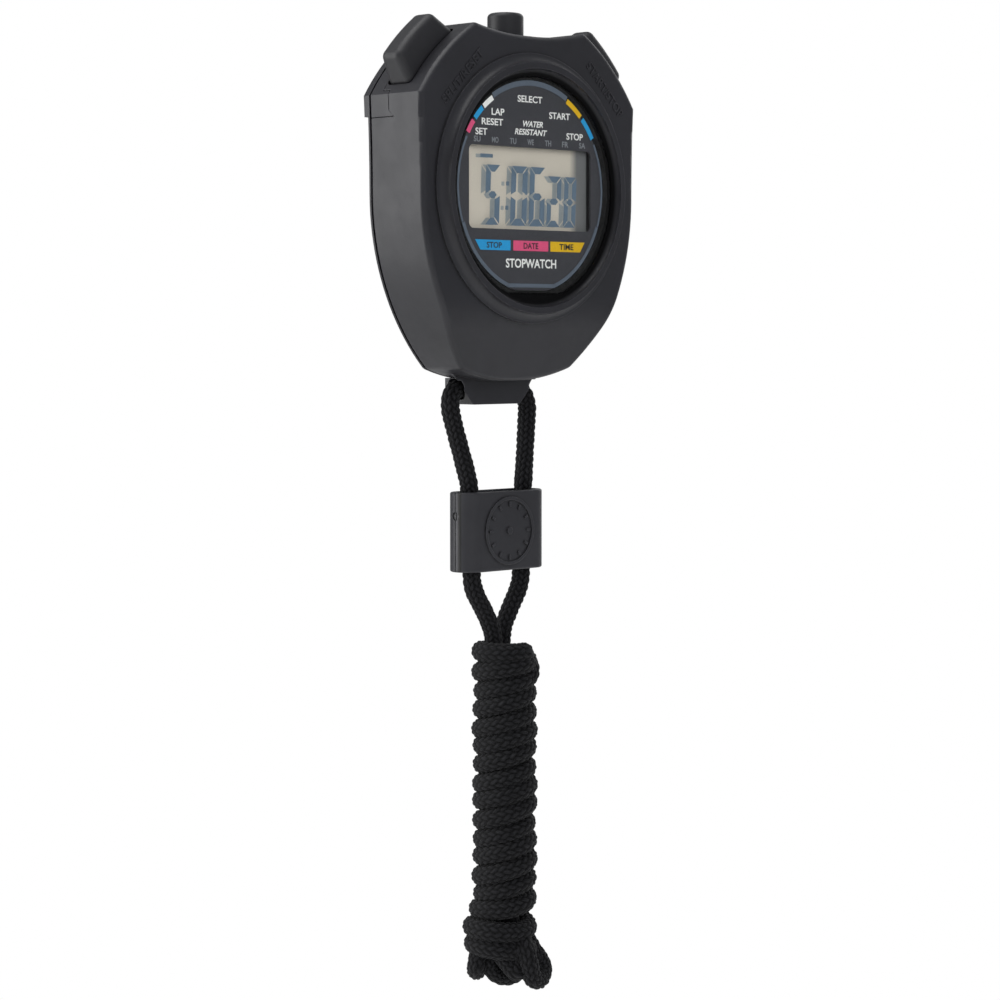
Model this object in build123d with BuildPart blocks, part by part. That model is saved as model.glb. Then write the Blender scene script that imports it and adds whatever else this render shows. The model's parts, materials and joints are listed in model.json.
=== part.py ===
from build123d import *

import os
from math import cos, radians, sin

# A digital sports stopwatch on a braided neck cord.
#
# Millimetres. +X is right seen from the front, -Y points at the viewer and +Z is up.
# Everything is drawn about the parting plane between the front case and its back cover:
# "depth" is the distance in front of that plane, so depth 15 is y = -15. The finished
# pieces are then moved forward, so that the origin is where the dial's axis meets the
# flat rest face on the back.

# ---------------------------------------------------------------- driving dimensions

# Case shell
face_depth = 15.0                 # flat front face
wall = 2.3                        # outer wall around the shallow chamber
front_edge_radius = 1.2
seam_gap = 0.5                    # open groove between case and back cover
top_dip_height = 31.6             # middle of the concave top
top_slope_middle = (8.6, 32.0)
top_corner = (16.2, 33.3)
chamfer_middle = (24.7, 26.9)
shoulder = (31.8, 18.3)
side_middle = (31.43, 8.7)
waist = (31.3, -1.6)
hip = (27.8, -20.0)
bottom_corner = (16.3, -37.4)
bottom_slope_middle = (8.5, -39.4)
bottom_middle_height = -40.0
top_corner_radius = 1.5
bottom_corner_radius = 2.5

# Swept-back lower front
sweep_start_height = -22.0
sweep_radius = 20.0
sweep_angle = 20.3

# Bezel and window
bezel_outer_radius = 28.0
bezel_height = 2.4
bezel_edge_radius = 2.0
bezel_lip_radius = 24.7
window_radius = 23.2
window_flat_height = -21.8
window_floor_depth = 14.55        # ledge that carries the window
lens_top_depth = 15.7
lens_thickness = 1.0
lens_chamfer = 0.15
ledge_radius = 21.7
ledge_flat_height = -21.2
ledge_back_depth = 13.0
fit_gap = 0.1                     # loose fit between pieces that only sit together
facing = 0.8                      # how nearly a face or an edge must point along a line to be picked

# Chambers inside the front case
chamber_radius = 26.5
shallow_chamber_depth = 9.2
chamber_top_height = 27.5
chamber_chamfer_distance = 29.5

# Buttons. Each one works along a line from the dial's axis, in the plane at button_depth.
button_depth = 7.0
button_travel = 1.2
start_angle = 47.0
select_angle = 90.0
lap_angle = 133.0
slot_length = 17.0
slot_height = 7.3
slot_corner_radius = 1.0
slot_clearance = 0.2
side_pocket_floor = 32.6
side_cap_base = 34.6
side_cap_straight = 1.4
side_cap_top = 42.2
side_cap_top_length = 13.4
side_cap_top_height = 5.6
side_cap_crown = 0.5
side_cap_edge_radius = 1.7
side_hollow_depth = 4.2
top_cap_radius = 3.8
top_pocket_radius = 3.95
top_pocket_floor = 29.9
top_cap_base = 31.4
top_cap_top = 36.8
top_cap_edge_radius = 1.0
top_hollow_depth = 4.0
hollow_radius = 2.4
stem_radius = 1.1
stem_bore_radius = 1.15
contact_distance = 25.4           # where the contact leaf stands, from the dial's axis
contact_gap = 0.03
groove_radius = 0.65
seal_section = 0.23
clip_radius = 1.9
clip_thickness = 0.4
spring_radius = 1.85
spring_wire = 0.22
spring_turns = 4.5
spring_seat_gap = 0.03
seal_below_floor = 0.9            # outer edge groove, below the pocket's floor
clip_below_wall = 0.55            # clip groove, below the chamber's wall
clip_clearance = 0.02

# Back cover
cover_rim_back = 1.0              # thin rim, in +y
cover_back = 2.5                  # raised rest face, in +y
cover_pad_height = 14.0           # the full-width pad starts here
cover_plateau_inset = 3.5
cover_edge_chamfer = 0.4
screw_head_radius = 1.8
screw_head_height = 0.9
screw_shank_radius = 0.9
screw_bore_radius = 0.93
screw_length = 5.0
counterbore_radius = 1.95
screw_slot_width = 0.4
screw_slot_depth = 0.5
back_screw_places = [(-13.0, 29.8), (13.0, 29.8), (-12.0, -30.5), (12.0, -30.5)]
back_boss_radius = 2.6
sound_hole_radius = 0.6
sound_hole_circle = 2.8
sound_hole_count = 6
panel_size = (26.0, 9.0)          # blank recessed panel on the back
panel_height = -12.0
panel_corner_radius = 1.5
panel_recess = 0.3
gasket_inset = 0.7
gasket_width = 1.3

# Movement
dial_depth = 14.6
dial_thickness = 0.45
dial_radius = 21.6
display_window = (36.2, 17.0)
display_window_radius = 1.2
glass_size = (38.0, 19.0)
glass_thickness = 1.2
reflector_size = (34.0, 14.6)
reflector_thickness = 0.25
frame_size = (44.0, 24.0)
board_depth = 10.3                # front face of the circuit board
board_thickness = 1.0
board_radius = 25.8
board_boss_radius = 2.0
board_boss_circle = 23.6
board_boss_angles = [70.0, 110.0, 230.0, 310.0]
board_screw_shank_radius = 0.6
board_screw_bore_radius = 0.63
board_screw_head_radius = 1.3
board_screw_head_height = 0.8
board_screw_grip = 2.4
blob_center = (-15.5, 3.0)
blob_radius = 4.0
blob_height = 1.4
blob_shoulder = (2.4, 1.05)       # radius and height of a point on its crown
crystal_center = (14.5, 3.5)
crystal_radius = 1.0
crystal_length = 6.0
crystal_edge_radius = 0.25
component_thickness = 0.6
component_places = [               # x, height, width across, width along z
    (-4.0, 6.5, 1.6, 0.8), (-1.0, 6.5, 1.6, 0.8), (14.5, 8.5, 2.0, 1.2),
    (18.0, 8.5, 2.0, 1.2), (17.5, -3.0, 1.6, 0.8), (17.5, -5.5, 1.6, 0.8),
    (-17.5, -5.0, 3.0, 1.6), (-16.0, -9.5, 1.6, 0.8),
]
leaf_thickness = 0.2
leaf_width = 3.0
leaf_reach = 1.6                  # how far the tab reaches behind the stem's axis
leaf_foot_length = 3.5
zebra_height = 8.6
zebra_size = (34.0, 1.8)
battery_center = (0.0, -9.0)
battery_radius = 10.0
battery_thickness = 3.2
battery_edge_radius = 0.3
battery_clip_thickness = 0.3
battery_clip_width = 6.0
battery_clip_gap = 0.6
buzzer_center = (0.0, 9.5)
buzzer_radius = 12.0
buzzer_disc_thickness = 0.3
ceramic_radius = 8.0
ceramic_thickness = 0.2
buzzer_spring_turns = 7
buzzer_spring_places = [(4.0, 13.5), (-9.2, 12.0)]
buzzer_spring_radius = 1.0
buzzer_spring_wire = 0.18

# Side inserts that close the button slots from behind
insert_thickness = 1.6
insert_depth = 3.2
insert_tab_depth = 5.2
insert_bottom = 13.8
insert_tab_top = 19.0
insert_notch = 1.3
insert_inner_end = 17.5
insert_gap = 0.12

# Lanyard lug, under the case
lug_top_height = -37.4
lug_top_half_width = 13.8
lug_rear_half_width = 9.0          # behind the parting plane
lug_edge_radius = 0.8
lug_bottom_half_width = 7.0
lug_bottom_height = -45.0
lug_front_depth = 4.5
lug_back_depth = -2.0
tunnel_depth = 1.5
tunnel_height = -41.5
tunnel_radius = 2.35
flare_start = 5.8
flare_middle = (8.6, 2.65)
flare_end = (10.6, 3.4)
flare_mouth = 14.0

# Neck cord, slider and wrapped bundle
cord_radius = 1.9
cord_bend_radius = 3.6
cord_turns = [                    # half width, depth and height of each change of direction
    (12.4, tunnel_depth, tunnel_height), (8.1, 4.3, -62.0), (7.6, 4.35, -82.0),
]
cord_left_end = (-1.9, 5.4, -94.8)
cord_right_end = (1.9, 4.0, -94.8)
slider_depth = 4.3
slider_top = -63.3
slider_height = 16.8
slider_half_thickness = 3.9
slider_end_center = 8.25
slider_wall = 1.15
slider_seam = 0.16
slider_rim_radius = 0.4
slider_post_drops = (4.0, 12.8)
slider_post_radius = 1.5
slider_post_sink = 0.5            # how far a post reaches into the wall behind it
slider_pin_radius = 0.78
slider_pin_bore_radius = 0.82
slider_pin_length = 1.2
dimple_drop = 5.0
dimple_radius = 0.9
dimple_recess = 0.35
emblem_radius = 7.25
emblem_ring_width = 0.7
emblem_relief = 0.3
emblem_ticks = 12
emblem_tick_circle = 5.6
emblem_tick_length = 1.0
emblem_tick_width = 0.5
emblem_hub_radius = 0.8
bundle_center = (0.6, 6.2)        # x and depth of the bundle's axis
bundle_top = -95.8
bundle_wraps = 17
bundle_pitch = 3.86
bundle_radius = 6.7
bundle_waist_radius = 5.6
loop_half_span = 2.1
# Each end loop: x, depth, turn about the vertical, height of its lowest centre line
end_loops = [(-2.9, 2.7, 45.0, -164.4), (-0.9, 7.4, -45.0, -166.4), (4.8, 10.2, -45.0, -169.2)]


# ---------------------------------------------------------------- shared shapes

def case_outline(depth, inset=0.0):
    """Draw the front outline of the case on the plane at this depth, shrunk by the inset."""
    with BuildSketch(Plane.XZ.offset(depth)) as outline:
        with BuildLine():
            ThreePointArc((0, top_dip_height), top_slope_middle, top_corner)
            ThreePointArc(top_corner, chamfer_middle, shoulder)
            ThreePointArc(shoulder, side_middle, waist)
            ThreePointArc(waist, hip, bottom_corner)
            ThreePointArc(bottom_corner, bottom_slope_middle, (0, bottom_middle_height))
            mirror(about=Plane.YZ)
        make_face()
        for corner, radius in ((top_corner, top_corner_radius), (bottom_corner, bottom_corner_radius)):
            ends = outline.vertices().filter_by(lambda v: abs(v.Y - corner[1]) < fit_gap)
            fillet(ends, radius)
        if inset:
            offset(amount=-inset, mode=Mode.REPLACE)
    return outline.sketch


def window_shape(depth, radius, flat_height):
    """Draw a disc with a flat at the bottom, on the plane at this depth."""
    with BuildSketch(Plane.XZ.offset(depth)) as shape:
        Circle(radius)
        with Locations((0, flat_height - radius)):
            Rectangle(2 * radius, 2 * radius, mode=Mode.SUBTRACT)
    return shape.sketch


def button_frame(angle):
    """Plane on the dial's axis at the button's depth, with its normal along the button's line."""
    a = radians(angle)
    return Plane(origin=(0, -button_depth, 0), x_dir=(sin(a), 0, -cos(a)), z_dir=(cos(a), 0, sin(a)))


def polar_point(distance, angle):
    """Place on the dial's plane at this distance and angle from the dial's axis."""
    return (distance * cos(radians(angle)), distance * sin(radians(angle)))


def depth_line(x, z):
    """Plane at the parting plane whose normal points to the front, through this place."""
    return Plane(origin=(x, 0, z), x_dir=(1, 0, 0), z_dir=(0, -1, 0))


def round_bar(frame, radius, start, end, mode=Mode.ADD):
    """Extrude a round bar along the frame's normal, between two distances."""
    with BuildSketch(frame.offset(start)) as disc:
        Circle(radius)
    extrude(disc.sketch, amount=end - start, mode=mode)


def block(frame, width, height, start, end, mode=Mode.ADD):
    """Extrude a rectangle along the frame's normal, between two distances."""
    with BuildSketch(frame.offset(start)) as outline:
        Rectangle(width, height)
    extrude(outline.sketch, amount=end - start, mode=mode)


def coil(frame, radius, wire, start, end, turns):
    """Coil spring along the frame's normal, with its outer ends at the two distances."""
    height = end - start - 2 * wire
    foot = frame.offset(start + wire)
    with BuildPart() as spring:
        with BuildLine() as path:
            Helix(height / turns, height, radius, center=foot.origin, direction=foot.z_dir)
        with BuildSketch(Plane(origin=path.line @ 0, z_dir=path.line % 0)):
            Circle(wire)
        sweep(path=path.line, is_frenet=True)
    return spring.part


def save(part, name):
    """Move a finished piece into the object's frame, label it and write its file."""
    piece = part.moved(Location((0, -cover_back, 0)))
    piece.label = name
    export_step(piece, f"parts/{name}.step")


os.makedirs("parts", exist_ok=True)


# ---------------------------------------------------------------- side inserts

def side_insert(side, gap):
    """Insert in an upper corner of the case; side is 1 for right, -1 for left."""
    low = insert_bottom - gap
    high = 2 * insert_tab_top
    with BuildPart() as insert:
        extrude(case_outline(0), amount=2 * insert_tab_depth)
        extrude(case_outline(0, insert_thickness + gap), amount=2 * insert_tab_depth, mode=Mode.SUBTRACT)
        with BuildSketch(Plane.YZ.offset(side * (insert_inner_end - gap))) as profile:
            with BuildLine():
                Polyline(
                    (0, low),
                    (-insert_tab_depth - insert_notch - gap, low),
                    (-insert_tab_depth - gap, low + insert_notch),
                    (-insert_tab_depth - gap, insert_tab_top + gap),
                    (-insert_depth - gap, insert_tab_top + gap),
                    (-insert_depth - gap, high),
                    (0, high),
                    close=True,
                )
            make_face()
        extrude(profile.sketch, amount=side * shoulder[0], mode=Mode.INTERSECT)
    return insert.part


save(side_insert(1, 0), "right_button_insert")
save(side_insert(-1, 0), "left_button_insert")
insert_pockets = [side_insert(side, insert_gap) for side in (1, -1)]


# ---------------------------------------------------------------- front case

side_angles = [start_angle, lap_angle]
reach = 2 * shoulder[0]           # comfortably past the case on every side


tunnel_line = Plane((0, -tunnel_depth, tunnel_height), x_dir=(0, 1, 0), z_dir=(1, 0, 0))


def cut_cord_tunnel():
    """Cut the straight tunnel that the neck cord runs through."""
    round_bar(tunnel_line, tunnel_radius, -reach, reach, mode=Mode.SUBTRACT)


def cut_tunnel_mouths():
    """Flare both ends of the tunnel, so that the cord turns down without an edge to rub on."""
    with BuildSketch(Plane(tunnel_line.origin)) as profile:
        with BuildLine():
            flare = ThreePointArc((flare_start, tunnel_radius), flare_middle, flare_end)
            Polyline(
                flare @ 1, (flare_mouth, flare_end[1]), (flare_mouth, 0),
                (0, 0), (0, tunnel_radius), flare @ 0,
            )
        make_face()
        mirror(about=Plane.YZ)
    revolve(profile.sketch, axis=Axis(tunnel_line.origin, tunnel_line.z_dir), mode=Mode.SUBTRACT)


def chamber_outline():
    """Draw the shallow chamber: the inside of the wall, with the upper corners cut well back."""
    slope = radians(start_angle)
    chamfer_start = (chamber_chamfer_distance - chamber_top_height * sin(slope)) / cos(slope)
    chamfer_end = (chamber_chamfer_distance - reach * cos(slope)) / sin(slope)
    with BuildSketch() as limits:
        with BuildLine():
            Polyline(
                (0, chamber_top_height), (chamfer_start, chamber_top_height), (reach, chamfer_end),
                (reach, -reach), (0, -reach),
            )
            mirror(about=Plane.YZ)
        make_face()
    return limits.sketch


with BuildPart() as lug:
    with BuildSketch(Plane.XZ.offset(lug_back_depth)) as lug_outline:
        with BuildLine():
            Polyline(
                (0, lug_top_height), (lug_top_half_width, lug_top_height),
                (lug_bottom_half_width, lug_bottom_height), (0, lug_bottom_height),
            )
            mirror(about=Plane.YZ)
        make_face()
        fillet(lug_outline.vertices().group_by(Axis.Y)[0], lug_edge_radius)
    extrude(lug_outline.sketch, amount=lug_front_depth - lug_back_depth)
    extrude(case_outline(0, -fit_gap), amount=lug_back_depth, mode=Mode.SUBTRACT)
    for x in (lug_rear_half_width, -reach):
        with BuildSketch(Plane.XZ.offset(lug_back_depth)) as rear_corner:
            with Locations((x, -reach)):
                Rectangle(reach - lug_rear_half_width, reach, align=Align.MIN)
        extrude(rear_corner.sketch, amount=-lug_back_depth, mode=Mode.SUBTRACT)
    cut_tunnel_mouths()

with BuildPart() as front_case:
    extrude(case_outline(0), amount=face_depth)

    # The lower front curves back from the flat face, then runs straight to the bottom.
    with BuildSketch(Plane.YZ) as swept_back:
        with BuildLine():
            bend = CenterArc((sweep_radius - face_depth, sweep_start_height), sweep_radius, 180, sweep_angle)
            slope = Line(bend @ 1, bend @ 1 + bend % 1 * sweep_radius)
            front = -2 * face_depth
            Polyline(slope @ 1, (front, (slope @ 1).Y), (front, sweep_start_height), bend @ 0)
        make_face()
    extrude(swept_back.sketch, amount=reach, both=True, mode=Mode.SUBTRACT)
    front_faces = front_case.faces().filter_by(lambda f: f.normal_at().Y < -facing)
    fillet(front_faces.edges().filter_by(Axis.X, reverse=True), front_edge_radius)

    # Raised bezel ring around the window, filled up to the window's top for now.
    bezel_foot = -ledge_back_depth
    bezel_top = -face_depth - bezel_height
    lip_radius = bezel_lip_radius - window_radius
    lip_start = bezel_top + lip_radius
    edge_end = (bezel_outer_radius, bezel_top + bezel_edge_radius)
    with BuildSketch() as bezel:
        with BuildLine():
            lip = RadiusArc((window_radius, lip_start), (bezel_lip_radius, bezel_top), lip_radius)
            crest = Line(lip @ 1, (bezel_outer_radius - bezel_edge_radius, bezel_top))
            RadiusArc(crest @ 1, edge_end, bezel_edge_radius)
            Polyline(
                edge_end, (bezel_outer_radius, bezel_foot), (0, bezel_foot), (0, lip_start), lip @ 0
            )
        make_face()
    revolve(bezel.sketch, axis=Axis.Y)

    # Window pocket with its ledge, and the two chambers behind it.
    pocket = window_shape(window_floor_depth, window_radius, window_flat_height)
    extrude(pocket, amount=face_depth, mode=Mode.SUBTRACT)
    extrude(window_shape(0, ledge_radius, ledge_flat_height), amount=face_depth, mode=Mode.SUBTRACT)
    round_bar(Plane.XZ, chamber_radius, 0, ledge_back_depth, mode=Mode.SUBTRACT)
    chamber = extrude(case_outline(0, wall), amount=shallow_chamber_depth, mode=Mode.PRIVATE)
    limits = extrude(Plane.XZ * chamber_outline(), amount=shallow_chamber_depth, mode=Mode.PRIVATE)
    add(chamber & limits, mode=Mode.SUBTRACT)

    # Bosses for the two lower cover screws and the four board screws.
    for x, z in back_screw_places:
        if z < 0:
            round_bar(depth_line(x, z), back_boss_radius, 0, shallow_chamber_depth)
    for angle in board_boss_angles:
        boss = depth_line(*polar_point(board_boss_circle, angle))
        round_bar(boss, board_boss_radius, board_depth, ledge_back_depth)
        round_bar(boss, board_screw_bore_radius, 0, board_depth + board_screw_grip, mode=Mode.SUBTRACT)
    for x, z in back_screw_places:
        round_bar(depth_line(x, z), screw_bore_radius, 0, screw_length, mode=Mode.SUBTRACT)

    # Slots for the side buttons, the round pocket of the top one, and their stem bores.
    for angle in side_angles:
        frame = button_frame(angle)
        with BuildSketch(frame.offset(side_pocket_floor)) as slot:
            RectangleRounded(slot_length, slot_height, slot_corner_radius)
        extrude(slot.sketch, amount=face_depth, mode=Mode.SUBTRACT)
        round_bar(frame, stem_bore_radius, contact_distance, side_pocket_floor, mode=Mode.SUBTRACT)
    frame = button_frame(select_angle)
    round_bar(frame, top_pocket_radius, top_pocket_floor, top_cap_top, mode=Mode.SUBTRACT)
    round_bar(frame, stem_bore_radius, contact_distance, top_pocket_floor, mode=Mode.SUBTRACT)
    for pocket in insert_pockets:
        add(pocket, mode=Mode.SUBTRACT)

    add(lug.part)
    cut_cord_tunnel()
save(front_case.part, "front_case")


# ---------------------------------------------------------------- back cover and its seal

with BuildPart() as cover_pad:
    extrude(case_outline(-cover_rim_back), amount=cover_rim_back - cover_back)
    split(bisect_by=Plane.XY.offset(cover_pad_height), keep=Keep.TOP)

with BuildPart() as back_cover:
    extrude(case_outline(-seam_gap), amount=seam_gap - cover_rim_back)
    add(cover_pad.part)
    extrude(case_outline(-cover_rim_back, cover_plateau_inset), amount=cover_rim_back - cover_back)
    back_face = back_cover.faces().sort_by(Axis.Y)[-1]
    chamfer(back_face.edges(), cover_edge_chamfer)
    for x, z in back_screw_places:
        line = depth_line(x, z)
        round_bar(line, screw_bore_radius, -cover_back, 0, mode=Mode.SUBTRACT)
        round_bar(line, counterbore_radius, -cover_back, screw_head_height - cover_back, mode=Mode.SUBTRACT)
    with BuildSketch(depth_line(*buzzer_center).offset(-cover_back)) as sound_holes:
        Circle(sound_hole_radius)
        with PolarLocations(sound_hole_circle, sound_hole_count):
            Circle(sound_hole_radius)
    extrude(sound_holes.sketch, amount=cover_back, mode=Mode.SUBTRACT)
    with BuildSketch(Plane.XZ.offset(-cover_back)) as panel:
        with Locations((0, panel_height)):
            RectangleRounded(*panel_size, panel_corner_radius)
    extrude(panel.sketch, amount=panel_recess, mode=Mode.SUBTRACT)
    cut_cord_tunnel()
save(back_cover.part, "back_cover")

with BuildPart() as case_gasket:
    extrude(case_outline(0, gasket_inset), amount=-seam_gap)
    extrude(case_outline(0, gasket_inset + gasket_width), amount=-seam_gap, mode=Mode.SUBTRACT)
    for x, z in back_screw_places:
        round_bar(depth_line(x, z), counterbore_radius, -seam_gap, 0, mode=Mode.SUBTRACT)
    cut_cord_tunnel()
save(case_gasket.part, "case_gasket")

with BuildPart() as back_screws:
    for x, z in back_screw_places:
        line = depth_line(x, z)
        head_start = -cover_back + fit_gap
        head_end = screw_head_height - cover_back
        round_bar(line, screw_head_radius, head_start, head_end)
        round_bar(line, screw_shank_radius, head_end, screw_length - fit_gap)
        for turn in (45, 135):
            cross = line.offset(head_start).rotated((0, 0, turn))
            block(cross, 2 * screw_shank_radius, screw_slot_width, 0, screw_slot_depth, mode=Mode.SUBTRACT)
save(back_screws.part, "back_screws")


# ---------------------------------------------------------------- window and dial

with BuildPart() as window_lens:
    lens_back = lens_top_depth - lens_thickness
    extrude(
        window_shape(lens_back, window_radius - fit_gap, window_flat_height + fit_gap), amount=lens_thickness
    )
    chamfer(window_lens.faces().sort_by(Axis.Y)[0].edges(), lens_chamfer)
save(window_lens.part, "window_lens")

with BuildPart() as lens_gasket:
    gasket_height = lens_top_depth - lens_thickness - window_floor_depth
    extrude(
        window_shape(window_floor_depth, window_radius - fit_gap, window_flat_height + fit_gap),
        amount=gasket_height,
    )
    extrude(
        window_shape(window_floor_depth, ledge_radius + fit_gap, ledge_flat_height - fit_gap),
        amount=gasket_height, mode=Mode.SUBTRACT,
    )
save(lens_gasket.part, "lens_gasket")

with BuildPart() as dial_plate:
    dial_back = dial_depth - dial_thickness
    extrude(window_shape(dial_back, dial_radius, ledge_flat_height + fit_gap), amount=dial_thickness)
    with BuildSketch(Plane.XZ.offset(dial_back)) as opening:
        RectangleRounded(*display_window, display_window_radius)
    extrude(opening.sketch, amount=dial_thickness, mode=Mode.SUBTRACT)
save(dial_plate.part, "dial_plate")

glass_back = dial_depth - dial_thickness - glass_thickness
with BuildPart() as lcd_glass:
    block(Plane.XZ, *glass_size, glass_back, dial_back)
save(lcd_glass.part, "lcd_glass")

with BuildPart() as lcd_reflector:
    block(Plane.XZ, *reflector_size, glass_back - reflector_thickness, glass_back)
save(lcd_reflector.part, "lcd_reflector")

zebra_lines = [Plane.XZ.shift_origin((0, 0, side * zebra_height)) for side in (1, -1)]

with BuildPart() as lcd_frame:
    block(Plane.XZ, *frame_size, board_depth, ledge_back_depth)
    rim = window_shape(ledge_back_depth, dial_radius, ledge_flat_height + fit_gap)
    extrude(rim, amount=dial_back - ledge_back_depth)
    for line, size, start, end in (
        (Plane.XZ, glass_size, glass_back, dial_back),
        (Plane.XZ, reflector_size, board_depth, glass_back),
        (zebra_lines[0], zebra_size, board_depth, glass_back),
        (zebra_lines[1], zebra_size, board_depth, glass_back),
    ):
        block(line, size[0] + 2 * fit_gap, size[1] + 2 * fit_gap, start, end, mode=Mode.SUBTRACT)
save(lcd_frame.part, "lcd_frame")

with BuildPart() as zebra_strips:
    for line in zebra_lines:
        block(line, *zebra_size, board_depth, glass_back)
save(zebra_strips.part, "zebra_strips")


# ---------------------------------------------------------------- circuit board and what it carries

board_back = board_depth - board_thickness

with BuildPart() as circuit_board:
    round_bar(Plane.XZ, board_radius, board_back, board_depth)
    for angle in board_boss_angles:
        line = depth_line(*polar_point(board_boss_circle, angle))
        round_bar(line, board_screw_bore_radius, board_back, board_depth, mode=Mode.SUBTRACT)
save(circuit_board.part, "circuit_board")

with BuildPart() as board_screws:
    for angle in board_boss_angles:
        line = depth_line(*polar_point(board_boss_circle, angle))
        round_bar(line, board_screw_head_radius, board_back - board_screw_head_height, board_back)
        round_bar(line, board_screw_shank_radius, board_back, board_depth + board_screw_grip - fit_gap)
save(board_screws.part, "board_screws")

with BuildPart() as chip_blob:
    blob_plane = depth_line(*blob_center)
    with BuildSketch(Plane(blob_plane.origin, x_dir=(1, 0, 0), z_dir=(0, 0, 1))) as blob:
        with BuildLine():
            ThreePointArc(
                (0, -board_back + blob_height),
                (blob_shoulder[0], -board_back + blob_shoulder[1]),
                (blob_radius, -board_back),
            )
            Polyline((blob_radius, -board_back), (0, -board_back), (0, -board_back + blob_height))
        make_face()
    revolve(blob.sketch, axis=Axis(blob_plane.origin, (0, 1, 0)))
save(chip_blob.part, "chip_blob")

with BuildPart() as quartz_crystal:
    can = Plane((crystal_center[0], crystal_radius - board_back, crystal_center[1]), z_dir=(1, 0, 0))
    round_bar(can, crystal_radius, -crystal_length / 2, crystal_length / 2)
    fillet(quartz_crystal.faces().filter_by(Axis.X).edges(), crystal_edge_radius)
save(quartz_crystal.part, "quartz_crystal")

with BuildPart() as board_components:
    for x, z, width, height in component_places:
        block(depth_line(x, z), width, height, board_back - component_thickness, board_back)
save(board_components.part, "board_components")


def contact_leaf(frame):
    """Spring contact at the end of a button's stem: a foot on the board and a tab bent to the rear."""
    foot_depth = button_depth - board_back
    with BuildPart() as leaf:
        with BuildSketch(frame.offset(contact_distance - leaf_thickness)) as tab:
            with Locations((0, (foot_depth + leaf_reach) / 2)):
                Rectangle(leaf_width, leaf_reach - foot_depth)
        extrude(tab.sketch, amount=leaf_thickness)
        with BuildSketch(frame.offset(contact_distance - leaf_foot_length)) as foot:
            with Locations((0, foot_depth + leaf_thickness / 2)):
                Rectangle(leaf_width, leaf_thickness)
        extrude(foot.sketch, amount=leaf_foot_length)
    return leaf.part


# ---------------------------------------------------------------- battery and buzzer

battery_line = depth_line(*battery_center)
battery_front = board_back - battery_clip_thickness
battery_rear = battery_front - battery_thickness

with BuildPart() as battery_lower_contact:
    block(battery_line, battery_clip_width, battery_radius, battery_front, board_back)
save(battery_lower_contact.part, "battery_lower_contact")

with BuildPart() as battery_cell:
    round_bar(battery_line, battery_radius, battery_rear, battery_front)
    fillet(battery_cell.edges().filter_by(GeomType.CIRCLE), battery_edge_radius)
save(battery_cell.part, "battery_cell")

with BuildPart() as battery_clip:
    span = 2 * (battery_radius + battery_clip_gap)
    block(battery_line, battery_clip_width, span, battery_rear - battery_clip_thickness, board_back)
    block(
        battery_line, battery_clip_width, span - 2 * battery_clip_thickness,
        battery_rear, board_back, mode=Mode.SUBTRACT,
    )
save(battery_clip.part, "battery_clip")

buzzer_line = depth_line(*buzzer_center)
disc_front = buzzer_disc_thickness - seam_gap

with BuildPart() as buzzer_disc:
    round_bar(buzzer_line, buzzer_radius, -seam_gap, disc_front)
save(buzzer_disc.part, "buzzer_disc")

with BuildPart() as buzzer_ceramic:
    round_bar(buzzer_line, ceramic_radius, disc_front, disc_front + ceramic_thickness)
save(buzzer_ceramic.part, "buzzer_ceramic")

with BuildPart() as buzzer_springs:
    for place, lift in zip(buzzer_spring_places, (ceramic_thickness, 0)):
        start = disc_front + lift + spring_seat_gap
        end = board_back - spring_seat_gap
        line = depth_line(*place)
        add(coil(line, buzzer_spring_radius, buzzer_spring_wire, start, end, buzzer_spring_turns))
save(buzzer_springs.part, "buzzer_springs")


# ---------------------------------------------------------------- buttons

def add_stem(frame, top, seal_distance, clip_distance):
    """Add a button's stem with the grooves for its seal and its retaining clip."""
    round_bar(frame, stem_radius, contact_distance + contact_gap + button_travel, top)
    grooves = ((seal_distance, 2 * seal_section + fit_gap), (clip_distance, clip_thickness + fit_gap))
    for start, width in grooves:
        with BuildSketch(frame.offset(start)) as groove:
            Circle(stem_radius + fit_gap)
            Circle(groove_radius, mode=Mode.SUBTRACT)
        extrude(groove.sketch, amount=width, mode=Mode.SUBTRACT)


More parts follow.
